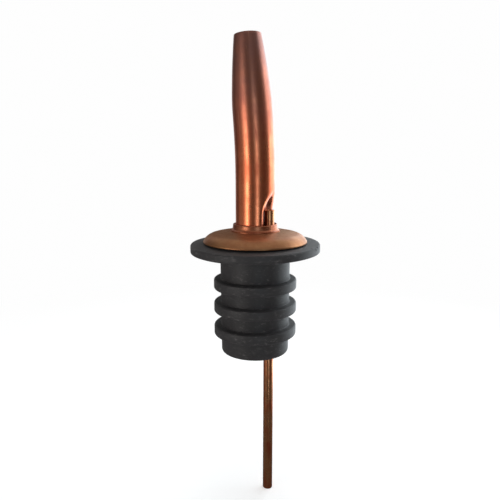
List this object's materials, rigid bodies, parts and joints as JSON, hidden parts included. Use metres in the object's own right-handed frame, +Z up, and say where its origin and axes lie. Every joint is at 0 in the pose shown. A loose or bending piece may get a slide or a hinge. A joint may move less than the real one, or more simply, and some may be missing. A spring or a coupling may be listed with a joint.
{
  "type": "liquor pour spout",
  "caption": "Free-flow bottle pourer: tapered, gently bent metal spout with a side vent tube, collar and domed cover on a ribbed rubber stopper.",
  "frame": {"origin": "centre of the stopper flange's underside, the face that rests on the bottle's lip", "axes": "+Z up along the stopper's axis towards the spout, +X towards the vent tube; the spout leans towards -X, the side it pours to"},
  "size_m": [0.031, 0.031, 0.1114],
  "materials": {
    "spout_copper": "antique copper plate, satin, faint lengthwise brushing",
    "vent_copper": "antique copper plate, a little brighter than the spout",
    "collar_copper": "antique copper plate, turned",
    "cover_copper": "antique copper plate, darker and browner, satin",
    "stem_metal": "antique copper plate, not polished",
    "solder": "dull tin solder, tarnished",
    "stopper_rubber": "moulded black rubber, matt, lightly scuffed"
  },
  "bodies": {
    "root": {"spout_tube": "spout_copper", "vent_tube": "vent_copper", "collar": "collar_copper", "cover_disc": "cover_copper", "stem_tube": "stem_metal", "solder_fill": "solder", "stopper": "stopper_rubber"}
  },
  "joints": []
}
